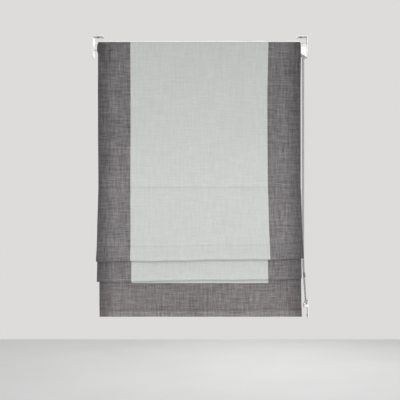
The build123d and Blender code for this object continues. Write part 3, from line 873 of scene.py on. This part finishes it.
def stitches(shape, run, x_line, length_line, offset, size, gap, along_x=True, skin=0):
    """A row of lockstitches that follow the cloth, as short rounded threads sunk into it. The line
    along which they run is a pair, and the other one is a single place."""
    start, end = (x_line if along_x else length_line)
    count = int((end - start) / gap)
    half = size / 2
    for i in range(count):
        centre = start + (end - start) * (i + 0.5) / count
        centre += rng.uniform(-stitch_jitter, stitch_jitter)
        x, length = (centre, length_line) if along_x else (x_line, centre)
        if along_x:
            ends = [(x - half, length), (x + half, length)]
        else:
            ends = [(x, length - half), (x, length + half)]
        a, b = (run.surface(np.array([px]), np.array([pl]), offset)[0] for px, pl in ends)
        middle, run_way = (a + b) / 2, (b - a) / 2
        normal = run.at(np.array([length]))[1][0]
        out = np.array((0.0, normal[0], normal[1])) * (1 if offset > 0 else -1)
        across = unit(np.cross(run_way, out))
        flat = (x, run.start_length + length)
        axes = (run_way, across * stitch_half_width, out * stitch_half_height)
        shape.blob(middle, axes, rings=5, sides=6, skin=skin, flat=flat)


stitch_below = 1.6  # the hem's stitches, below the path's corner
hem_stitch = math.dist(seam_point, hang_foot) + stitch_below
hem_drop = -hang_foot[1] + stitch_below
hem_foot = math.dist(seam_point, (hang_foot[0], hem_bottom)) - 1.0
upper = Run("upper", upper_points, upper_radii, 0.0, ("root", "rod_1_group"))
first = Run("first_fold", first_points, first_radii, upper.total, ("rod_1_group", "rod_2_group"), 0.022, 5.0)
second_start = first.start_length + first.total
second = Run("second_fold", second_points, second_radii, second_start, ("rod_2_group", "foot"), 0.032, 5.0)
lower_start = second.start_length + second.total
lower = Run("lower", lower_points, lower_radii, lower_start, ("foot",))
lower_back = Run("lower", lower_lining_points, lower_radii, lower_start, ("foot",))
border_start = lower.start_length + lower.total
border = Run("bottom_border", border_points, border_radii, border_start, ("foot",), spacing=2.5)


corner_foot = 24.5  # drop at which the rounded top corners end
flap_top, flap_foot, flap_out = 23.5, 51.5, 2.8


def top_corner(z, inward):
    return smooth((corner_foot + z) / 4.5) * inward


def left_edge(x, z):
    """The left border's top corner and, below it, its return past the rail's end."""
    rise = smooth((-z - flap_top) / 3.0) * smooth((flap_foot + z) / 3.0)
    edge = smooth((x + half_width - 14) / -14.0)
    return edge * (top_corner(z, 1.6) - flap_out * rise)


def right_edge(x, z):
    """The right border's top corner."""
    return -top_corner(z, 1.4) * smooth((x - half_width + 10) / 10.0)


# Needle lines and pressed creases, darker with painted shade along them: place, half width, shade.
painted_line_shade = [(upper.total, 4.0, 0.90), (first.start_length + pleat_line, 3.5, 0.93)]
pale = slub_cloth(
    "pale_cloth", (0.489, 0.508, 0.492), (0.666, 0.688, 0.668),
    contrast=0.55, edge_shade=0.9, top_shade=0.88, lines=painted_line_shade,
)
dark = slub_cloth(
    "dark_cloth", (0.060, 0.056, 0.0575), (0.356, 0.338, 0.345),
    contrast=0.70, edge_shade=0.52, top_shade=0.79, lines=painted_line_shade,
)
# The bottom border: the dark cloth's colours painted lighter, as painted light from below.
dark_hem_painted_light = slub_cloth(
    "dark_cloth_hem", (0.070, 0.064, 0.062), (0.385, 0.360, 0.355),
    contrast=0.66, edge_shade=0.56, top_shade=1.0, hem=True,
)

# How each length of cloth is held, and what holds it.
slip_stitch_inset, slip_stitch_end = 2.2, 6.0


def cloth_piece(run, part, material, left, right, step, edge=None):
    """A piece of face cloth or lining: its mesh, what it stands for and how it hangs. A piece of one body
    moves with that body.
    """
    is_lining = part == "lining"
    rear, face = (-lining_thickness, 0.0) if is_lining else (0.0, face_thickness)
    shape = cloth_shape(run, stations(left, right, step), rear, face, edge)
    materials = [material]
    if is_lining:
        materials.append(white_thread)
        for x in (left + slip_stitch_inset, right - slip_stitch_inset):
            ends = (slip_stitch_end, run.total - slip_stitch_end)
            stitches(shape, run, x, ends, rear, along_x=False, size=3.4, gap=9.0, skin=1)
    piece = make_object(f"{run.name}_{part}_sewn", shape, materials)
    if len(run.bodies) == 2:
        lengths = np.concatenate(shape.flat)[:, 1] - run.start_length
        blend_by(piece, *run.bodies, run.share(lengths, not is_lining))
    else:
        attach(piece, run.bodies[0])
    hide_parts(run.name if part == "hem" else f"{run.name}_{part}")


for run in (upper, first, second, lower):
    left_side, right_side = (left_edge, right_edge) if run is upper else (None, None)
    cloth_piece(run, "left_border", dark, -half_width, -seam_x, 6.0, left_side)
    cloth_piece(run, "centre_panel", pale, -seam_x, seam_x, 8.0)
    cloth_piece(run, "right_border", dark, seam_x, half_width, 6.0, right_side)
for run in (upper, first, second, lower_back):
    cloth_piece(run, "lining", lining, -lining_half, lining_half, 9.0)
cloth_piece(border, "hem", dark_hem_painted_light, -half_width, half_width, 8.0)

# ---- tapes, pockets, rings and stitches ----
def touch_tape(name, node, y):
    low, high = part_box(node)
    reach = high[0] / MM
    run = Run("tape", [(y, high[2] / MM), (y, low[2] / MM)], [], 0.0, ("root",), spacing=3.0)
    shape = cloth_shape(run, stations(-reach, reach, 12.0), 0.0, 1.0)
    rigid_piece(name, shape, [tape], "root", node)


def ellipse(middle, wide, high, count):
    """Places round an ellipse whose half axes are given as vectors."""
    turn = np.linspace(0, 2 * math.pi, count, endpoint=False)[:, None]
    return middle + np.sin(turn) * np.array(wide) + np.cos(turn) * np.array(high)


touch_tape("hook_strip_woven", "hook_strip", -14.0)
touch_tape("loop_strip_woven", "loop_strip", -15.0)

# Rod pockets are tapes sewn to the lining: their corners (y, z) from the rod, and the radii there.
# The first is sewn above and below its rod, and the others hang over theirs.
pocket_walls = {1: 2.6, 2: 3.1, 3: 3.1}
pocket_thickness, pocket_inset = 0.45, 2.2
for number, (rod_y, rod_z) in rod_places.items():
    body = rod_bodies[number]
    wall = pocket_walls[number]
    if number == 1:
        path = [(-wall, 8.5), (-wall, 3.4), (2.3, 2.3), (2.3, -2.3), (-wall, -3.4), (-wall, -8.5)]
        radii = [1.0, 2.0, 2.0, 1.0]
    else:
        path = [
            (-wall, -10.5), (-wall, -3.5), (-2.1, 2.1), (2.1, 2.1), (2.1, -2.7), (wall, -4.5), (wall, -10.5),
        ]
        radii = [4.0, 1.6, 1.6, 0.9, 0.9]
    path = [(rod_y + y, rod_z + z) for y, z in path]
    run = Run("tape", path, radii, 0.0, (body,), spacing=2.0)
    shape = cloth_shape(run, stations(-rod_reach - 2, rod_reach + 2, 14.0), -pocket_thickness, 0.0)
    for edge in (pocket_inset, run.total - pocket_inset):
        stitches(shape, run, (-rod_reach, rod_reach), edge, -pocket_thickness, size=2.6, gap=3.4, skin=1)
    node = f"rod_pocket_{number}"
    rigid_piece(node + "_tape", shape, [tape, white_thread], body, node)

    rings = Shape()
    sewing = Shape()
    for x in cord_places:
        centre = np.array((x, rod_y + ring_offset, rod_z))
        line = ellipse(centre, (ring_radius, 0, 0), (0, -ring_radius, 0), 36)
        rings.tube(line, ring_wire, 12, up=(0, 0, 1), closed=True)
        for place in (-1.1, 0.0, 1.1):
            middle = centre + np.array((place, -ring_radius - 0.2, 0.1 * place))
            line = ellipse(middle, (0.25, 0, 1.3), (0, 1.45, 0), 18)
            sewing.tube(line, 0.28, 6, up=(1, 0, 0), closed=True)
    node = f"cord_rings_{number}"
    ring_plastic = moulded(f"ring_plastic_{number}", (0.86, 0.86, 0.85), 0.3)
    rigid_piece(node + "_moulded", rings, [ring_plastic], body, node)
    rigid_piece(node + "_sewing", sewing, [white_thread], body, None)

groove = Shape()
groove_length, row_end, past_seam = 0.4, half_width - 2.0, 0.6
outside, inside = seam_x + past_seam, seam_x - past_seam
for left, right, skin in ((-row_end, -outside, 1), (-inside, inside, 0), (outside, row_end, 1)):
    stitches(groove, first, (left, right), groove_length, face_thickness, size=2.9, gap=3.6, skin=skin)
rigid_piece("rod_1_stitching", groove, [pale_thread, dark_thread], "rod_1_group", None)
hem_row = Shape()
stitches(hem_row, border, (-row_end, row_end), hem_stitch, face_thickness, size=2.9, gap=3.6)
rigid_piece("hem_stitching", hem_row, [dark_thread], "foot", None)

screw_steel = drawn_metal("screw_steel", (0.30, 0.29, 0.28), 0.4, 2)
screw_sides = 32


def screw(name, place, heading):
    """A pan-head screw with a cross recess: its head's outer face is at place and it runs along
    heading. Its profile goes out of the recess, over the head and down the shank."""
    arms = np.abs(np.cos(4 * math.pi * np.arange(screw_sides) / screw_sides + 0.6)) ** 5
    profile = [
        (1.5, 0.25 + 0.35 * arms), (0.25, 0.5 + 1.7 * arms), (0.05, 0.6 + 1.75 * arms), (0.0, 2.5),
        (0.12, 2.9), (0.6, 3.5), (1.3, 3.75), (2.1, 3.8), (2.1, 1.9), (3.9, 1.9),
    ]
    shape = Shape()
    rings = turned(place, np.array(heading, float), (0, 1, 0), profile, screw_sides)
    shape.add(rings, ring_faces(len(profile), screw_sides))
    rigid_piece(name, shape, [screw_steel], "root", None)


screw("left_bracket_screw", (-303.0, 0.0, -4.1), (0, 0, 1))
screw("right_bracket_screw", (303.0, 0.0, -4.1), (0, 0, 1))
screw("tensioner_screw", (320.9, 0.0, -833.0), (1, 0, 0))

# ---- small parts of the frame: materials on the CAD ----
finishes = {
    "rail_metal": painted("rail_powder_coat", (0.82, 0.82, 0.81), 0.42, 1400, 0.25),
    "bracket_metal": painted("bracket_paint", (0.84, 0.84, 0.83), 0.38, 1100, 0.4),
    "white_plastic": moulded("white_plastic", (0.84, 0.84, 0.83), 0.36),
    "shaft_metal": drawn_metal("shaft_aluminium", (0.72, 0.72, 0.73), 0.35, 0),
    "glass_fibre": pultruded("glass_fibre", (0.80, 0.79, 0.72)),
    "bar_metal": drawn_metal("bar_aluminium", (0.74, 0.74, 0.75), 0.4, 0),
    "axle_metal": drawn_metal("axle_steel", (0.68, 0.68, 0.70), 0.3, 0),
    "grey_plastic": grey_plastic,
}
for part in frame["record"]["subparts"]:
    node = nodes[part["node"]]
    if node.hide_render:
        continue
    node.data.materials.clear()
    node.data.materials.append(finishes[part["material_slot"]])

# ---- light and floor ----
scene = bpy.context.scene
scene.view_settings.view_transform = "Standard"
world = bpy.data.worlds.new("studio")
world.use_nodes = True
tree = world.node_tree
tree.nodes.clear()
world_output = tree.nodes.new("ShaderNodeOutputWorld")
light_path = tree.nodes.new("ShaderNodeLightPath")
chooser = tree.nodes.new("ShaderNodeMixShader")


def background(colour, strength):
    node = tree.nodes.new("ShaderNodeBackground")
    node.inputs["Color"].default_value = colour
    node.inputs["Strength"].default_value = strength
    return node.outputs["Background"]


# The studio is seen brighter than it lights, which leaves the lighting to the lamps.
lit = background(rgb(1.0, 1.0, 1.0), 0.30)
seen = background(rgb(0.975, 0.965, 0.955), 0.74)
tree.links.new(light_path.outputs["Is Camera Ray"], chooser.inputs["Fac"])
tree.links.new(lit, chooser.inputs[1])
tree.links.new(seen, chooser.inputs[2])
tree.links.new(chooser.outputs["Shader"], world_output.inputs["Surface"])
scene.world = world


def area_light(name, place, target, size, power, spread=math.pi):
    data = bpy.data.lights.new(name, "AREA")
    data.shape = "DISK"
    data.size = size
    data.energy = power
    data.spread = spread
    light = bpy.data.objects.new(name, data)
    light.location = place
    light.rotation_euler = (Vector(target) - Vector(place)).to_track_quat("-Z", "Y").to_euler()
    scene.collection.objects.link(light)


def sun(name, toward, strength, softness):
    """Parallel light whose rays come from the direction toward."""
    data = bpy.data.lights.new(name, "SUN")
    data.energy = strength
    data.angle = softness
    light = bpy.data.objects.new(name, data)
    light.rotation_euler = Vector(toward).to_track_quat("Z", "Y").to_euler()
    scene.collection.objects.link(light)


sun("key", (0.15, -1.0, 0.17), 1.45, 0.35)
sun("left", (-1.0, -0.5, 0.0), 0.55, 1.0)
sun("fill", (0.55, -1.0, -0.35), 0.25, 0.6)
sun("bounce", (0.0, -0.5, -1.0), 0.2, 1.0)
sun("overhead", (0.0, 0.0, 1.0), 0.5, 0.6)
area_light("side", (0.8, -1.8, -0.85), (0, 0, -0.65), 0.8, 1.4, math.radians(80))
area_light("rear", (0.6, 2.6, 0.6), (0, 0, -0.5), 2.0, 26)

floor_half, floor_front, floor_back, floor_z = 3500, -3200, 2900, -1450.0
floor_corners = [
    (-floor_half, floor_front, floor_z), (floor_half, floor_front, floor_z),
    (floor_half, floor_back, floor_z), (-floor_half, floor_back, floor_z),
]
floor_shape = Shape()
floor_shape.add(floor_corners, [(0, 1, 2, 3)])
floor_graph = Graph("floor", Roughness=0.9)
speck = floor_graph.noise(floor_graph.place((3, 3, 3)), detail=3.0)
floor_colour = floor_graph.scaled(rgb(0.86, 0.86, 0.855), floor_graph.span(speck, 0.3, 0.7, 0.97, 1.0))
floor = make_object("floor", floor_shape, [floor_graph.finish(floor_colour)])
floor.visible_shadow = False  # light comes up from a real floor, and here from suns under it
